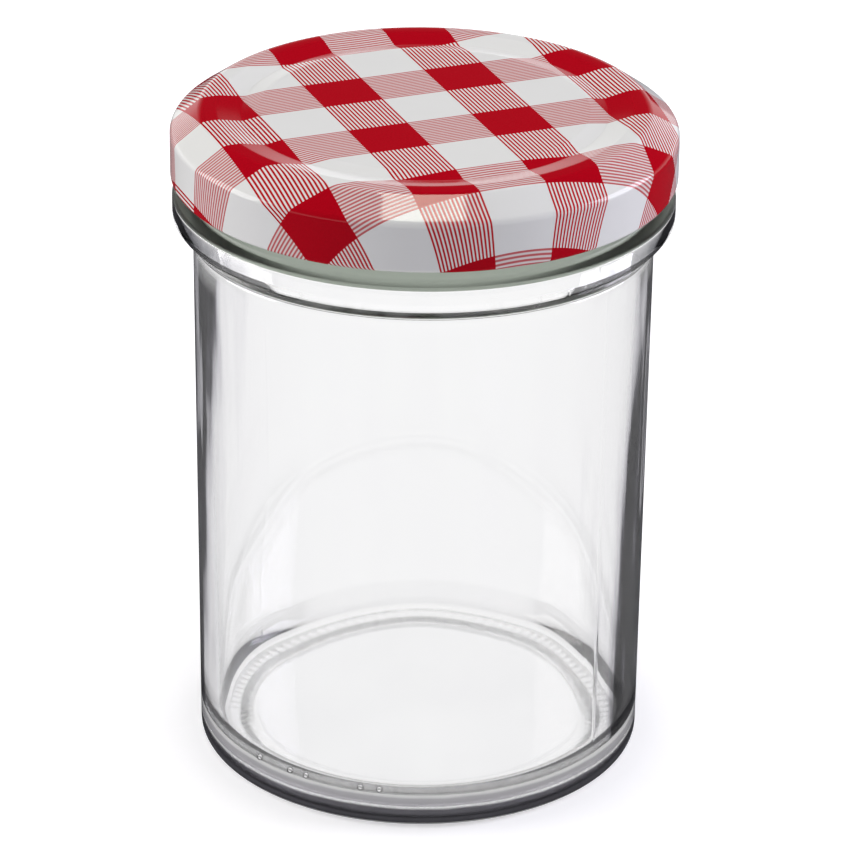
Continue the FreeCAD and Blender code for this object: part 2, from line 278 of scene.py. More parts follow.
printed = rounded([
    (CURL_IN, LEG_TOP), (CURL_IN, CAP_FOOT, CURL_R), (CAP_R, CAP_FOOT, CURL_R),
    (CAP_R, SHOULDER_Z, 1.5), (CREST_R, CAP_TOP, 2.2), (FLANK_R, CAP_TOP, 2.2),
    (GROOVE_R, GROOVE_Z, 1.5), (PANEL_R, PANEL_Z, 2.5), (0, PANEL_Z)], arc_step=4, longest=1.2)
cap_outline = np.concatenate([lining, printed[1:]])
PRINT_ROW = len(lining)
CAP_COLUMNS = 288
cap = turned("gingham_cap", cap_outline,
             np.linspace(0, 2 * math.pi, CAP_COLUMNS, endpoint=False))

# %% Print coordinates on the drawn sheet, as they were on the flat disc
def flat_radii(outline):
    """For each point of an outline, the radius of the flat disc that holds the same area."""
    area = 0.0
    radii = np.zeros(len(outline))
    for i in range(len(outline) - 2, -1, -1):
        step = np.linalg.norm(outline[i] - outline[i + 1])
        area += 2 * math.pi * (outline[i, 0] + outline[i + 1, 0]) / 2 * step
        radii[i] = math.sqrt(area / math.pi)
    return radii


def lay_print(obj, outline, columns):
    """Give the mesh a UV map in metres on the flat disc."""
    radii = flat_radii(outline)
    count = len(obj.data.vertices)
    point_radii = np.concatenate([np.repeat(radii[1:-1], columns), [radii[0], 0.0]])
    places = np.zeros(count * 3)
    obj.data.vertices.foreach_get("co", places)
    angle = np.arctan2(places[1::3], places[0::3])
    flat = np.stack([point_radii * np.cos(angle), point_radii * np.sin(angle)], 1) * MM
    loops = np.zeros(len(obj.data.loops), int)
    obj.data.loops.foreach_get("vertex_index", loops)
    layer = obj.data.uv_layers.new(name="flat_print")
    layer.data.foreach_set("uv", flat[loops].ravel())
    return radii


radii = lay_print(cap, cap_outline, CAP_COLUMNS)
print(f"the flat disc had a radius of {radii[PRINT_ROW]:.1f} mm")

# %% [markdown]
# ## Node trees in a few words
# Geometry Nodes and shaders are both node trees, and both are easier to read as sums. `Value`
# wraps a socket, so an expression on it adds its own Math nodes, and `Tree.node` makes any other
# node: its settings first, because they decide which sockets there are, and then its inputs.

# %% A socket that can be reckoned with
class Value:
    """A socket of a node tree that takes part in sums, such as 1 - mask * 2."""

    def __init__(self, tree, socket):
        self.tree = tree
        self.socket = socket

    def math(self, operation, *terms):
        return self.tree.node("ShaderNodeMath", {"operation": operation}, dict(enumerate(terms)))

    def __add__(self, other):
        return self.math("ADD", self, other)

    def __sub__(self, other):
        return self.math("SUBTRACT", self, other)

    def __mul__(self, other):
        return self.math("MULTIPLY", self, other)

    def __truediv__(self, other):
        return self.math("DIVIDE", self, other)

    def __rsub__(self, other):
        return self.math("SUBTRACT", other, self)

    def __rtruediv__(self, other):
        return self.math("DIVIDE", other, self)

    __radd__ = __add__
    __rmul__ = __mul__

    def __abs__(self):
        return self.math("ABSOLUTE", self)

    def above(self, limit):
        return self.math("GREATER_THAN", self, limit)

    def below(self, limit):
        return self.math("LESS_THAN", self, limit)

    def least(self, other):
        return self.math("MINIMUM", self, other)

    def most(self, other):
        return self.math("MAXIMUM", self, other)

    def within(self, low=0.0, high=1.0):
        return self.most(low).least(high)

    def wrap(self, period):
        return self.math("FLOORED_MODULO", self, period)

    def root(self):
        return self.math("SQRT", self)

    def cosine(self):
        return self.math("COSINE", self)

    def output(self, name):
        """Another output of the same node."""
        return Value(self.tree, self.socket.node.outputs[name])


print("a Value also knows:", [name for name in vars(Value) if name[0] != "_"])

# %% A tree that makes its nodes
class Tree:
    """A shader or geometry node tree, built by its parts."""

    def __init__(self, group):
        self.group = group

    def node(self, kind, settings=None, inputs=None, output=0):
        """A node with its settings and inputs; gives one of its outputs."""
        made = self.group.nodes.new(kind)
        for name, setting in (settings or {}).items():
            if name == "stops":
                self.set_stops(made.color_ramp, setting)
            else:
                setattr(made, name, setting)
        for key, value in (inputs or {}).items():
            if isinstance(value, Value):
                self.group.links.new(value.socket, made.inputs[key])
            else:
                made.inputs[key].default_value = value
        return Value(self, made.outputs[output]) if made.outputs else None

    @staticmethod
    def set_stops(ramp, stops):
        while len(ramp.elements) < len(stops):
            ramp.elements.new(1.0)
        for element, (place, colour) in zip(ramp.elements, stops):
            element.position = place
            element.color = colour

    def xyz(self, vector):
        """The three parts of a vector."""
        parts = self.node("ShaderNodeSeparateXYZ", {}, {0: vector})
        return parts, parts.output("Y"), parts.output("Z")

    def vector(self, x=0.0, y=0.0, z=0.0):
        return self.node("ShaderNodeCombineXYZ", {}, {0: x, 1: y, 2: z})

    def mix(self, factor, first, second):
        """A colour between two colours."""
        return self.node("ShaderNodeMix", {"data_type": "RGBA"}, {0: factor, 6: first, 7: second}, 2)


print("a Tree makes:", [name for name in vars(Tree) if name[0] != "_"])

# %% Running a Geometry Nodes tree once and keeping a plain mesh
class Maker(Tree):
    """A Geometry Nodes tree with named sizes."""

    def __init__(self, name, sizes):
        super().__init__(bpy.data.node_groups.new(name, "GeometryNodeTree"))
        face = self.group.interface
        face.new_socket(name="Geometry", in_out="INPUT", socket_type="NodeSocketGeometry")
        self.settings = {}
        for size, value in sizes.items():
            kind = "NodeSocketInt" if isinstance(value, int) else "NodeSocketFloat"
            socket = face.new_socket(name=size, in_out="INPUT", socket_type=kind)
            self.settings[socket.identifier] = value
        face.new_socket(name="Geometry", in_out="OUTPUT", socket_type="NodeSocketGeometry")
        self.start = self.node("NodeGroupInput")

    def size(self, name):
        return self.start.output(name)

    def finish(self, geometry, material):
        """End the tree with plain geometry that has its material."""
        geometry = self.node("GeometryNodeRealizeInstances", {}, {0: geometry})
        geometry = self.node("GeometryNodeSetMaterial", {}, {0: geometry, "Material": material})
        self.node("NodeGroupOutput", {}, {0: geometry})

    def run(self, obj):
        """Put the tree on an object, set its sizes, and bake the result into the object's mesh."""
        modifier = obj.modifiers.new(self.group.name, "NODES")
        modifier.node_group = self.group
        for identifier, value in self.settings.items():
            modifier[identifier] = value
        shape = obj.evaluated_get(bpy.context.evaluated_depsgraph_get())
        mesh = bpy.data.meshes.new_from_object(shape)
        mesh.name = obj.name
        obj.modifiers.clear()
        obj.data = mesh
        print(f"{obj.name}: {len(mesh.polygons)} faces")
        return obj


def points_object(name, places):
    """An object of loose points for a tree to put things on."""
    mesh = bpy.data.meshes.new(name)
    mesh.from_pydata([tuple(p) for p in places], [], [])
    made = bpy.data.objects.new(name, mesh)
    bpy.context.scene.collection.objects.link(made)
    return made


# %% A material's tree
GRAIN_DEPTH = 0.02 * MM


class Finish(Tree):
    """A material, named for the finish it gives."""

    def __init__(self, name):
        self.material = bpy.data.materials.new(name)
        self.material.use_nodes = True
        super().__init__(self.material.node_tree)
        self.group.nodes.clear()

    def place(self):
        return self.node("ShaderNodeTexCoord", output="Object")

    def noise(self, where, scale, detail=2.0, roughness=0.5):
        return self.node("ShaderNodeTexNoise", {}, {"Vector": where, "Scale": scale,
                                                    "Detail": detail, "Roughness": roughness})

    def ramp(self, factor, stops):
        return self.node("ShaderNodeValToRGB", {"stops": stops}, {"Fac": factor})

    def mark(self, name):
        """A number stored on the mesh's points."""
        return self.node("ShaderNodeAttribute", {"attribute_name": name}, {}, "Fac")

    def bump(self, height, strength):
        """A normal bent by a height of 0 to 1 that stands for the depth of a fine grain."""
        return self.node("ShaderNodeBump", {}, {"Height": height, "Distance": GRAIN_DEPTH,
                                                "Strength": strength})

    def surface(self, shader):
        self.node("ShaderNodeOutputMaterial", {}, {"Surface": shader})
        return self.material


print("a Finish adds:", [name for name in vars(Finish) if name[0] != "_"])

# %% [markdown]
# ## Clear glass
# A shader that bends light through a wall with a real thickness does most of the work: the bead, the
# rim and the base look right because they are modelled. Colour inside the glass could be a volume,
# but clear glass this thin shows its green only at an edge, so tints on the skin are enough and don't
# add noise.
#
# A real jar has a dark outline, because at its edge the eye looks along the wall. Here that outline is
# painted shade in the glass's colour: Layer Weight knows where the edge is, and slow noise makes the
# band as uneven as blown glass. Its stops go from clear, in the middle, to nearly black, with a thin
# painted highlight where light comes round the edge. The bead and the rims of the code dots get painted
# shade by Layer Weight too, and the heel gets painted shade by height.

# %% Painted shade along the edge of the wall and of the bead, by how far the skin is turned away, with a painted highlight at the very edge of the wall
EDGE_SHADE_STOPS = [
    (0.0, (0.96, 0.96, 0.965, 1)), (0.50, (0.93, 0.925, 0.94, 1)), (0.62, (0.78, 0.77, 0.80, 1)),
    (0.70, (0.42, 0.41, 0.45, 1)), (0.76, (0.02, 0.019, 0.024, 1)),
    (0.79, (0.0006, 0.0005, 0.0008, 1)), (0.93, (0.0006, 0.0005, 0.0008, 1)),
    (0.97, (0.35, 0.34, 0.38, 1)), (1.0, (0.06, 0.06, 0.065, 1))]
BEAD_SHADE_STOPS = [
    (0.0, (1, 1, 1, 1)), (0.30, (0.95, 0.95, 0.96, 1)), (0.45, (0.50, 0.50, 0.53, 1)),
    (0.62, (0.14, 0.14, 0.16, 1)), (0.80, (0.04, 0.04, 0.05, 1)), (1.0, (0.02, 0.02, 0.02, 1))]
print("edge stops:", len(EDGE_SHADE_STOPS), "bead stops:", len(BEAD_SHADE_STOPS))

# %% Painted shade up the heel, from the floor to HEEL_TOP, with a brighter painted line in it, and the other tints: painted shade round the code dots, a grey cloud under the base, and the finish's green darkened as painted shade under the cap
HEEL_SHADE_STOPS = [
    (0.0, (0.003, 0.003, 0.004, 1)), (0.50, (0.016, 0.015, 0.019, 1)),
    (0.57, (0.70, 0.70, 0.72, 1)), (0.61, (0.24, 0.23, 0.26, 1)),
    (0.80, (0.36, 0.35, 0.38, 1)), (0.88, (1, 1, 1, 1))]
NO_TINT = (1, 1, 1, 1)
# Painted shade round the code dots.
DOT_RIM_SHADE = (0.001, 0.001, 0.001, 1)
BASE_CLOUD = (0.62, 0.62, 0.64, 1)
# The finish's green, darkened as painted shade under the cap.
FINISH_GREEN_AND_SHADE = (0.13, 0.16, 0.12, 1)
print("heel stops:", len(HEEL_SHADE_STOPS))

# %% Where each tint lies on the jar
HEEL_TOP = 7.0 * MM
CORNER_TOP = 9.0 * MM
PUSH_TOP = PUSH_UP * MM
STIPPLE_FROM = (PUSH_R - 0.5) * MM
FINISH_FROM = (BEAD_TOP - 0.4) * MM
BEAD_FROM = (BEAD_FOOT - 0.6) * MM
BEAD_FACE = 1.2 * MM
BEAD_LIP = 1.5 * MM
SAME_PLANE = 0.05 * MM
print(f"heel to {HEEL_TOP / MM:.1f} mm, bead from {BEAD_FROM / MM:.1f} mm")

# %% [markdown]
# The base is thick, so light can run round inside it for many bounces, and a renderer gives up on
# such light and shows black. Real light leaks out. Alpha lets a part of it straight through the
# underside and the foot of the bead, and a little through the inner corner, and the black is gone.
# The bearing ring is stippled in the mould and the finish is hidden by the cap, so both are rough.

# %% How uneven, how rough and how leaky each part is
GLASS_IOR = 1.52
WAVY = {"Scale": (22, 22, 18)}
STREAKY = {"Scale": (160, 160, 16)}
DRIFT = {"edge": 1.4, "bead": 0.8, "heel": 0.1}
ROUGH = {"bearing ring": 0.2, "corner": 0.1, "finish": 0.45, "bead foot": 0.12}
LEAK = {"corner": 0.12, "bead foot": 0.75, "underside": 0.6}
print("rough:", ROUGH)
print("leak:", LEAK)

# %% The glass finish
def clear_glass():
    """Clear glass with painted shade on its outer skin: along the edge of a thick wall, on the bead, at
    the heel and round the code dots.
    """
    finish = Finish("clear_glass")
    where = finish.place()
    x, y, z = finish.xyz(where)
    tilt = finish.xyz(finish.node("ShaderNodeTexCoord", output="Normal"))[2]
    facing = finish.node("ShaderNodeLayerWeight", {}, {"Blend": 0.5}, "Facing")
    outward = 1 - finish.node("ShaderNodeNewGeometry", output="Backfacing")

    skin = finish.mark("outer_skin")
    outer_part = (x * x + y * y).root().above(STIPPLE_FROM)
    bead = z.above(BEAD_FROM) * outer_part
    corner = z.below(CORNER_TOP) * outer_part * (1 - skin)
    under = skin * z.below(PUSH_TOP + SAME_PLANE) * abs(tilt).above(0.5)
    upright = (1 - abs(tilt) * 3).within()

    waves = finish.noise(finish.node("ShaderNodeMapping", {}, {"Vector": where, **WAVY}), 1.0)
    streaks = finish.noise(finish.node("ShaderNodeMapping", {}, {"Vector": where, **STREAKY}), 1.0, 3.0)
    drift = waves * 0.5 + streaks * 0.5 - 0.5
    cloud = finish.noise(where, 45.0)

    # Painted shade: the edge ramp darkens the glass's colour where the wall turns away, and its bright
    # stop is a painted highlight.
    edge = finish.ramp(facing + drift * DRIFT["edge"], EDGE_SHADE_STOPS)
    # Painted shade on the bead where it turns away.
    bead_shade = finish.ramp(facing + drift * DRIFT["bead"], BEAD_SHADE_STOPS)
    # Painted shade up the heel, with a brighter painted line in it.
    heel = finish.ramp(z / HEEL_TOP + drift * DRIFT["heel"], HEEL_SHADE_STOPS)
    # Painted shade: a dark rim round each code dot where its dome turns away.
    dot_rim_shade = finish.mark("code_dot") * ((facing - 0.12) * 4).within()
    colour = finish.mix(skin * upright, NO_TINT, edge)
    colour = finish.mix(skin * bead * upright, colour, bead_shade)
    colour = finish.mix(dot_rim_shade, colour, DOT_RIM_SHADE)
    colour = finish.mix(under * (1 - outer_part) * (1.3 - cloud), colour, BASE_CLOUD)
    colour = finish.mix(skin * outward * z.below(HEEL_TOP), colour, heel)
    # Green of the thick glass, darkened as painted shade where the cap shadows the finish.
    colour = finish.mix(skin * z.above(FINISH_FROM), colour, FINISH_GREEN_AND_SHADE)

    low_inside = (1 - skin) * z.below(CORNER_TOP)
    rough = outer_part * (z.below(PUSH_TOP) * ROUGH["bearing ring"] + low_inside * ROUGH["corner"])
    bead_foot = bead * z.below(BEAD_FROM + BEAD_FACE) * ROUGH["bead foot"]
    rough = rough + skin * (z.above(FINISH_FROM) * ROUGH["finish"] + bead_foot)
    bead_lip = skin * bead * z.below(BEAD_FROM + BEAD_LIP)
    leak = corner * LEAK["corner"] + bead_lip * LEAK["bead foot"] + under * LEAK["underside"]
    glassy = finish.node("ShaderNodeBsdfPrincipled", {}, {
        "Base Color": colour, "Roughness": rough, "Alpha": 1 - leak,
        "IOR": GLASS_IOR, "Transmission Weight": 1.0})
    return finish.surface(glassy)


glass_material = clear_glass()
print("made", glass_material.name)

# %% [markdown]
# ## What the mould presses into the glass
# Six slanting ridges stand on the finish for the lugs of the cap, and a ring of short ribs under the
# base keeps the hot jar off the belt. Both repeat round the jar, so one Geometry Nodes tree moves the
# points of the turned mesh by a rule in height and angle.

# %% Sizes of the ridges and the ribs, in millimetres
RIDGES = 6
RIDGE_DEPTH = 1.4
RIDGE_HEIGHT = 1.9
RIDGE_BEVEL = 0.55
RIDGE_FOOT = CAP_FOOT + 1.6
RIDGE_SPAN = math.radians(44)
RIDGE_CLIMB = 15 / (2 * math.pi)
RIDGE_END = 0.03
RIBS = 108
RIB_DEPTH = 0.12
RIB_INSIDE = 32.0
RIB_OUTSIDE = 35.2
RIB_TOP = 0.7
print(f"{RIDGES} ridges climb {RIDGE_CLIMB * RIDGE_SPAN:.2f} mm each; {RIBS} ribs under the base")

# %% A tree that moves the points of the glass
press = Maker("mould_press", {
    "Ridges": RIDGES, "Ridge depth": RIDGE_DEPTH * MM, "Ridge height": RIDGE_HEIGHT * MM,
    "Ridge bevel": RIDGE_BEVEL * MM, "Ridge foot": RIDGE_FOOT * MM, "Ridge span": RIDGE_SPAN,
    "Ridge climb": RIDGE_CLIMB * MM, "Finish foot": (BEAD_TOP + 1) * MM, "Ribs": RIBS,
    "Rib depth": RIB_DEPTH * MM, "Rib inside": RIB_INSIDE * MM, "Rib outside": RIB_OUTSIDE * MM})
here = press.node("GeometryNodeInputPosition")
x, y, z = press.xyz(here)
radius = (x * x + y * y).root()
around = y.math("ARCTAN2", y, x)
print("sizes on the tree:", len(press.settings))

# %% The ridges: how far each point moves out
turn = around.wrap(2 * math.pi / press.size("Ridges"))
up = z - press.size("Ridge foot") - press.size("Ridge climb") * turn
slope = (up.least(press.size("Ridge height") - up) / press.size("Ridge bevel")).within()
ends = (turn.least(press.size("Ridge span") - turn) / RIDGE_END).within()
on_finish = z.above(press.size("Finish foot")) * radius.above((FINISH_R - 0.05) * MM)
out = press.size("Ridge depth") * slope * ends * on_finish / radius.most(MM)
print(f"with the ridges the tree has {len(press.group.nodes)} nodes")

# %% The ribs: how far each point moves up
middle = (press.size("Rib inside") + press.size("Rib outside")) / 2
half = (press.size("Rib outside") - press.size("Rib inside")) / 2
across = (1 - abs((radius - middle) / half)).within()
wave = (around * press.size("Ribs")).cosine() / 2 + 0.5
rib_up = press.size("Rib depth") * (across * 3).within() * (1 - wave) * z.below(RIB_TOP * MM)
print(f"with the ribs it has {len(press.group.nodes)}")

# %% Press the glass
moved = press.node("GeometryNodeSetPosition", {}, {
    0: press.start, "Offset": press.vector(x * out, y * out, rib_up)})
press.finish(moved, glass_material)
press.run(glass)

# %% [markdown]
# ## The mould code
# Five small dots low on the wall are the mould's number. Each is a tiny dome of glass. They aren't
# evenly spaced, so the tree takes points at the right angles and only adds the domes.

# %% Dots low on the wall
DOT_R = 0.6
DOT_Z = 7.2
DOTS_OUT = 38.68
dot_angles = [math.radians(a) for a in (-134.5, -124.3, -119.5, -104.5, -99.6)]
dots = points_object("mould_code_dots", [
    (MM * DOTS_OUT * math.cos(a), MM * DOTS_OUT * math.sin(a), MM * DOT_Z) for a in dot_angles])
dotter = Maker("code_dots", {"Dot radius": DOT_R * MM})
dome = dotter.node("GeometryNodeMeshUVSphere", {}, {
    "Segments": 12, "Rings": 8, "Radius": dotter.size("Dot radius")})
dotted = dotter.node("GeometryNodeInstanceOnPoints", {}, {0: dotter.start, "Instance": dome})
smooth = dotter.node("GeometryNodeSetShadeSmooth", {}, {
    0: dotter.node("GeometryNodeRealizeInstances", {}, {0: dotted})})
dotter.finish(smooth, glass_material)
dotter.run(dots)
# The mark of the dots, which gets the painted shade round their rims.
dot_shade_mark = dots.data.attributes.new("code_dot", "FLOAT", "POINT")
dot_shade_mark.data.foreach_set("value", np.ones(len(dots.data.vertices)))

# %% [markdown]
# ## The printed check
# The gingham is printed in one red. A square where both stripes cross is solid, a square where only
# one stripe runs is filled with fine lines along that stripe, and the rest is the white ground. The
# lines of the rows have bled a little into each other. An image could hold all this, but arithmetic
# on the flat disc's coordinates stays sharp at any size and each measure keeps its name.

# %% The print's measures, in millimetres and as shares of one repeat
CHECK_FROM = (-20.76, 9.32)
CHECK_TILT = math.radians(21.7)
CHECK_ALONG = 22.0
CHECK_ACROSS = 21.7
RED_ALONG = 0.481
RED_ACROSS = 0.485
LINES = 15.5
LINE_START = 0.25
LINE_SHARPNESS = 6
LINE_GAP = 0.93
ROW_BLEED = 0.15
print(f"a stripe has {LINES} lines, {CHECK_ALONG * RED_ALONG / LINES:.2f} mm apart")

# %% The inks and the ground
WHITE_GROUND = (0.78, 0.785, 0.765, 1)
DULL_GROUND = (0.74, 0.74, 0.72, 1)
RED_INK = (0.435, 0.0, 0.008, 1)
LINE_INK = (0.48, 0.0, 0.006, 1)
DEEP_INK = (0.345, 0.0, 0.005, 1)
THIN_INK = (0.52, 0.001, 0.012, 1)
print("red ink:", RED_INK[:3])


# %% The check as sums
def stripes(place, share):
    """Fine printed lines inside a stripe: place runs from 0 to 1 over one repeat of the check."""
    line = (place * (LINES / share) + LINE_START).wrap(1.0)
    return ((0.5 - abs(line - 0.5)) * LINE_SHARPNESS - LINE_GAP).within()


def gingham(finish, flat):
    """Where there is red ink, from 0 to 1, at a point of the flat disc in metres."""
    x, y, _ = finish.xyz(flat)
    x = x * (1 / MM) - CHECK_FROM[0]
    y = y * (1 / MM) - CHECK_FROM[1]
    c, s = math.cos(CHECK_TILT), math.sin(CHECK_TILT)
    along = ((x * c + y * s) / CHECK_ALONG).wrap(1.0)
    across = ((x * s - y * c) / CHECK_ACROSS).wrap(1.0)
    in_column = along.below(RED_ALONG)
    in_row = across.below(RED_ACROSS)
    solid = in_column * in_row
    column = in_column * (1 - in_row) * stripes(along, RED_ALONG)
    bled = stripes(across, RED_ACROSS) * (1 - 2 * ROW_BLEED) + ROW_BLEED
    row = in_row * (1 - in_column) * bled
    return solid, solid + column + row


print(f"solid squares: {CHECK_ALONG * RED_ALONG:.1f} by {CHECK_ACROSS * RED_ACROSS:.1f} mm")

# %% The printed finish, outside
def printed_tinplate():
    """Printed enamel under a clear coat: the coat alone shines, so the reds stay deep."""
    finish = Finish("gingham_print")
    flat = finish.node("ShaderNodeUVMap", {"uv_map": "flat_print"})
    solid, ink = gingham(finish, flat)
    grain = finish.noise(flat, 2600.0, 3.0, 0.6)
    cloud = finish.noise(flat, 120.0, 2.0)
    deep = finish.mix(grain, DEEP_INK, THIN_INK)
    red = finish.mix((cloud - 0.35).within(), deep, RED_INK)
    red = finish.mix(solid, LINE_INK, red)
    ground = finish.mix(cloud * 0.6, WHITE_GROUND, DULL_GROUND)
    colour = finish.mix(ink, ground, red)
    peel = finish.noise(flat, 900.0, 2.0)
    glossy = finish.node("ShaderNodeBsdfPrincipled", {}, {
        "Base Color": colour, "Roughness": 0.26 + 0.1 * grain * ink, "Metallic": 0.0,
        "Specular IOR Level": 0.0, "Coat Weight": 0.8, "Coat Roughness": 0.08, "Coat IOR": 1.5,
        "Normal": finish.bump(peel * 0.7 + grain * 0.3, 0.6)})
    return finish.surface(glossy)


print_material = printed_tinplate()
print("made", print_material.name)

# %% [markdown]
# Inside, the cap has a pale food-safe lacquer without print. It is the second material of the same
# mesh, because the sheet is one piece: the faces of the underside take it by their place in the
# outline. The lugs are folded from the same sheet and share it.

# %% The lacquered finish, inside
LACQUER_DARK = (0.62, 0.60, 0.52, 1)
LACQUER_PALE = (0.72, 0.71, 0.64, 1)


def inner_lacquer():
    """Pale lacquer with a faint cloudiness."""
    finish = Finish("pale_lacquer")
    where = finish.place()
    cloud = finish.noise(where, 160.0, 3.0)
    colour = finish.mix(cloud, LACQUER_DARK, LACQUER_PALE)
    coated = finish.node("ShaderNodeBsdfPrincipled", {}, {
        "Base Color": colour, "Roughness": 0.3 + 0.12 * cloud, "Metallic": 0.0,
        "Coat Weight": 0.4, "Coat Roughness": 0.12,
        "Normal": finish.bump(finish.noise(where, 1500.0), 0.5)})
    return finish.surface(coated)


lacquer_material = inner_lacquer()
print("made", lacquer_material.name)

# %% Both finishes on the cap
cap.data.materials.append(print_material)
cap.data.materials.append(lacquer_material)
inner_faces = (PRINT_ROW - 2) * CAP_COLUMNS
end_faces = len(cap.data.polygons) - 2 * CAP_COLUMNS
for face in cap.data.polygons:
    below = face.index < inner_faces or face.index >= end_faces and face.index % 2 == 0
    face.material_index = 1 if below else 0
print("finishes:", [m.name for m in cap.data.materials])

# %% [markdown]
# ## The lugs
# Six lugs are folded in from the curl and catch under the ridges. One lug is a short bar bent to the
# cap's radius, and it repeats round the cap, so a tree sweeps a rounded section along an arc.

# %% Sizes of a lug, in millimetres
LUG_R = 40.5
LUG_SWEEP = 12 / 41
LUG_TURN = math.radians(7.0)
LUG_REACH = 1.05
LUG_THICK = 1.0
LUG_Z = 105.75
LUG_ROUND = 0.3
print(f"a lug is {LUG_R * LUG_SWEEP:.1f} mm long")

# %% Six folded lugs
lugs = points_object("cap_lugs", [(0, 0, 0)])
folder = Maker("fold_lugs", {
    "Lugs": RIDGES, "Lug radius": LUG_R * MM, "Lug sweep": LUG_SWEEP, "Lug turn": LUG_TURN,
    "Lug reach": LUG_REACH * MM, "Lug thickness": LUG_THICK * MM, "Lug height": LUG_Z * MM,
    "Rounding": LUG_ROUND * MM})
section = folder.node("GeometryNodeCurvePrimitiveQuadrilateral", {}, {
    "Width": folder.size("Lug reach"), "Height": folder.size("Lug thickness")})
section = folder.node("GeometryNodeFilletCurve", {"mode": "POLY"}, {
    "Curve": section, "Radius": folder.size("Rounding"), "Count": 3, "Limit Radius": True})
sweep = folder.node("GeometryNodeCurveArc", {"mode": "RADIUS"}, {
    "Resolution": 12, "Radius": folder.size("Lug radius"),
    "Start Angle": folder.size("Lug sweep") * -0.5, "Sweep Angle": folder.size("Lug sweep")})
bar = folder.node("GeometryNodeCurveToMesh", {}, {
    "Curve": sweep, "Profile Curve": section, "Fill Caps": True})
bar = folder.node("GeometryNodeTransform", {}, {
    "Geometry": bar, "Translation": folder.vector(z=folder.size("Lug height"))})
ring_points = folder.node("GeometryNodeMeshLine", {}, {
    "Count": folder.size("Lugs"), "Offset": (0, 0, 0)})
step = folder.node("GeometryNodeInputIndex") * (2 * math.pi / folder.size("Lugs"))
placed = folder.node("GeometryNodeInstanceOnPoints", {}, {
    "Points": ring_points, "Instance": bar,
    "Rotation": folder.vector(z=step + folder.size("Lug turn"))})
folder.finish(placed, lacquer_material)
folder.run(lugs)

# %% [markdown]
# ## The sealing ring
# The ring is poured into the cap as a soft compound and baked, so its face is smooth with a faint
# grain. Its shape in the CAD model is right, and it only gets its finish.

# %% The sealing compound
COMPOUND_DARK = (0.55, 0.56, 0.54, 1)
COMPOUND_PALE = (0.66, 0.67, 0.64, 1)


def sealing_compound():
    """A soft, nearly matt compound."""
    finish = Finish("sealing_compound")
    where = finish.place()
    cloud = finish.noise(where, 300.0, 3.0)
    colour = finish.mix(cloud, COMPOUND_DARK, COMPOUND_PALE)
    soft = finish.node("ShaderNodeBsdfPrincipled", {}, {
        "Base Color": colour, "Roughness": 0.38 + 0.15 * cloud, "Subsurface Weight": 0.1,
        "Normal": finish.bump(finish.noise(where, 2200.0), 0.5)})
    return finish.surface(soft)


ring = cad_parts["lid_gasket"]
ring.material_slots[0].material = sealing_compound()
print("ring finish:", ring.material_slots[0].material.name)

# %% [markdown]
# ## Joining the CAD model
# Each piece is hung from the body that carries it, and the CAD pieces that the new meshes replace are
# hidden. The jar has no moving joint, so there is one body.

# %% Joining the pieces to the frame
for piece, slot in ((glass, "clear_glass"), (dots, "clear_glass"),
                    (cap, "printed_steel"), (lugs, "printed_steel")):
    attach(piece, "root")
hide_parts("jar_glass")
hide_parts("lid_shell")
print("pieces:", [o.name for o in (glass, dots, cap, lugs, ring)])

# %% [markdown]
# ## The studio
# Clear glass shows what is behind it, so it stands on a white floor in front of white, and what gives
# it its form is the darker edge. White is made by Light Path, not by more light: rays from the camera
# and rays through the glass see white, while the lamps stay at a plain level for the print.
#
# Two more things help. Rays mirrored by the cap see a dim floor and ceiling, as in a room, so that
# the reds stay deep. And rays through the glass see a darker ring where the base stands on the floor,
# because they would otherwise miss the small shadow there. The floor lies a hair below the base, so
# that glass and floor never share a plane.

# %% A white floor that keeps the shadow
FLOOR_AT = -0.1 * MM
FLOOR_HALF = 6
FLOOR_COLOUR = (0.84, 0.84, 0.84, 1)
MIRRORED_FLOOR = (0.06, 0.06, 0.065, 1)
LIFT = 0.42
LIFT_FROM = 0.25
MOST_LIFT = 0.4
CONTACT_R = (30.6 * MM, 33.5 * MM)
CONTACT_WANDER = 1.2 * MM


def white_floor():
    """Matt white that the camera sees as white, with a contact ring for rays through the glass."""
    finish = Finish("white_floor")
    where = finish.place()
    x, y, _ = finish.xyz(where)
    far = (x * x + y * y).root()
    rough = finish.noise(where, 900.0)
    edge = far + (rough - 0.5) * CONTACT_WANDER
    contact = ((edge - CONTACT_R[0]) * 1500).within() * ((CONTACT_R[1] - edge) * 900).within()
    path = finish.node("ShaderNodeLightPath", output="Is Camera Ray")
    through = path.output("Is Transmission Ray")
    mirrored = path.output("Is Glossy Ray") * (1 - through)
    matt = finish.node("ShaderNodeBsdfDiffuse", {}, {
        "Color": finish.mix(mirrored, FLOOR_COLOUR, MIRRORED_FLOOR)})
    lift = finish.node("ShaderNodeEmission", {}, {
        "Color": path * (LIFT + (far - LIFT_FROM).within(0, MOST_LIFT)), "Strength": 1.0})
    open_floor = finish.node("ShaderNodeAddShader", {}, {0: matt, 1: lift})
    through_glass = finish.node("ShaderNodeEmission", {}, {
        "Color": 1 - contact * (0.4 + 0.5 * rough), "Strength": 1.0})
    return finish.surface(finish.node("ShaderNodeMixShader", {}, {
        0: through, 1: open_floor, 2: through_glass}))


floor_material = white_floor()
print("made", floor_material.name)

# %% The floor itself
floor_mesh = bpy.data.meshes.new("studio_floor")
floor_mesh.from_pydata([(FLOOR_HALF * i, FLOOR_HALF * j, FLOOR_AT)
                        for i, j in ((-1, -1), (1, -1), (1, 1), (-1, 1))], [], [(0, 1, 2, 3)])
floor = bpy.data.objects.new("studio_floor", floor_mesh)
floor.data.materials.append(floor_material)
bpy.context.scene.collection.objects.link(floor)
print(f"floor: {2 * FLOOR_HALF} m across, {-FLOOR_AT / MM:.1f} mm under the jar")

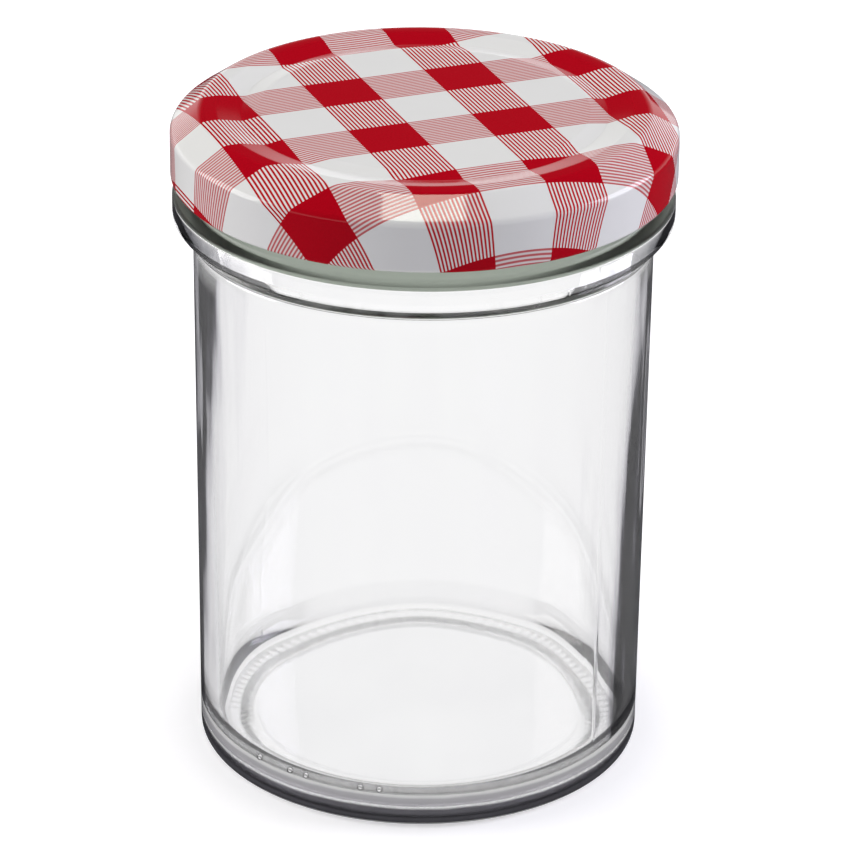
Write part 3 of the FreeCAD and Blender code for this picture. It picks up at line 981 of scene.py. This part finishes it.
# %% The world around it
AMBIENT = 0.39
AMBIENT_COLOUR = (0.91, 0.90, 1.03, 1)
CEILING_FROM = 0.1
CEILING_DIMS = 0.97
world = bpy.data.worlds.new("studio")
world.use_nodes = True
bpy.context.scene.world = world
sky = Tree(world.node_tree)
sky.group.nodes.clear()
path = sky.node("ShaderNodeLightPath", output="Is Camera Ray")
seen = (path + path.output("Is Glossy Ray") + path.output("Is Transmission Ray")).least(1.0)
aloft = sky.xyz(sky.node("ShaderNodeTexCoord", output="Generated"))[2]
mirrored = path.output("Is Glossy Ray") * (1 - path.output("Is Transmission Ray"))
ceiling = mirrored * ((aloft - CEILING_FROM) * 4).within() * CEILING_DIMS
glow = sky.node("ShaderNodeBackground", {}, {
    "Color": sky.mix(seen, AMBIENT_COLOUR, (1, 1, 1, 1)),
    "Strength": AMBIENT + seen * (1.0 - AMBIENT) - ceiling})
sky.node("ShaderNodeOutputWorld", {}, {"Surface": glow})
print("ambient light:", AMBIENT)

# %% [markdown]
# Two soft boxes light the cap from the sides, a warmer one on the left and a cooler one on the right,
# and a small one above gives its flat top an even light. They are placed where the coat mirrors only
# their edges to the camera.

# %% Soft lamps
LAMPS_FACE = Vector((0, 0, 0.06))


def soft_lamp(name, place, size, watts, colour):
    """A square area lamp that faces the middle of the jar."""
    data = bpy.data.lights.new(name, "AREA")
    data.shape = "SQUARE"
    data.size = size
    data.energy = watts
    data.color = colour
    lamp = bpy.data.objects.new(name, data)
    lamp.location = place
    lamp.rotation_euler = (LAMPS_FACE - Vector(place)).to_track_quat("-Z", "Y").to_euler()
    bpy.context.scene.collection.objects.link(lamp)


soft_lamp("left_softbox", (-0.95, 0.1, 0.45), 0.7, 6.0, (1.0, 0.975, 0.955))
soft_lamp("right_softbox", (0.95, 0.15, 0.45), 0.6, 6.6, (0.92, 0.90, 1.03))
soft_lamp("top_softbox", (0.0, 0.0, 1.1), 0.35, 3.4, (1.0, 1.0, 0.86))

# %% [markdown]
# ## The camera
# The camera looks down on the cap from a little over 25 degrees, with a long lens, and is rolled by
# less than a degree.

# %% Where the camera stands and looks
CAMERA_TILT = 0.4452
CAMERA_FAR = 0.75913
CAMERA_ROLL = 0.012
CAMERA_AIM = Vector((0, 0, 0.06))
AIM_RIGHT = 0.00079
AIM_DOWN = 0.00219
LENS_MM = 185.556
SENSOR_MM = 36
back = Vector((0, -math.cos(CAMERA_TILT), math.sin(CAMERA_TILT)))
right = Vector((1, 0, 0))
above = back.cross(right)
spot = CAMERA_AIM + back * CAMERA_FAR
target = CAMERA_AIM + right * AIM_RIGHT - above * AIM_DOWN
print("camera at", tuple(round(v, 4) for v in spot))

# %% Turn it, with the roll
back = (spot - target).normalized()
right = Vector((0, 0, 1)).cross(back).normalized()
above = back.cross(right)
c, s = math.cos(CAMERA_ROLL), math.sin(CAMERA_ROLL)
right, above = c * right + s * above, c * above - s * right
lens = bpy.data.cameras.new("camera")
lens.lens = LENS_MM
lens.sensor_width = SENSOR_MM
lens.clip_start = 0.01
camera = bpy.data.objects.new("camera", lens)
camera.matrix_world = (Matrix.Translation(spot)
                       @ Matrix((right, above, back)).transposed().to_4x4())
bpy.context.scene.collection.objects.link(camera)
bpy.context.scene.camera = camera
bpy.context.scene.view_settings.view_transform = "Standard"
print(f"lens {LENS_MM:.0f} mm, roll {math.degrees(CAMERA_ROLL):.1f} degrees")
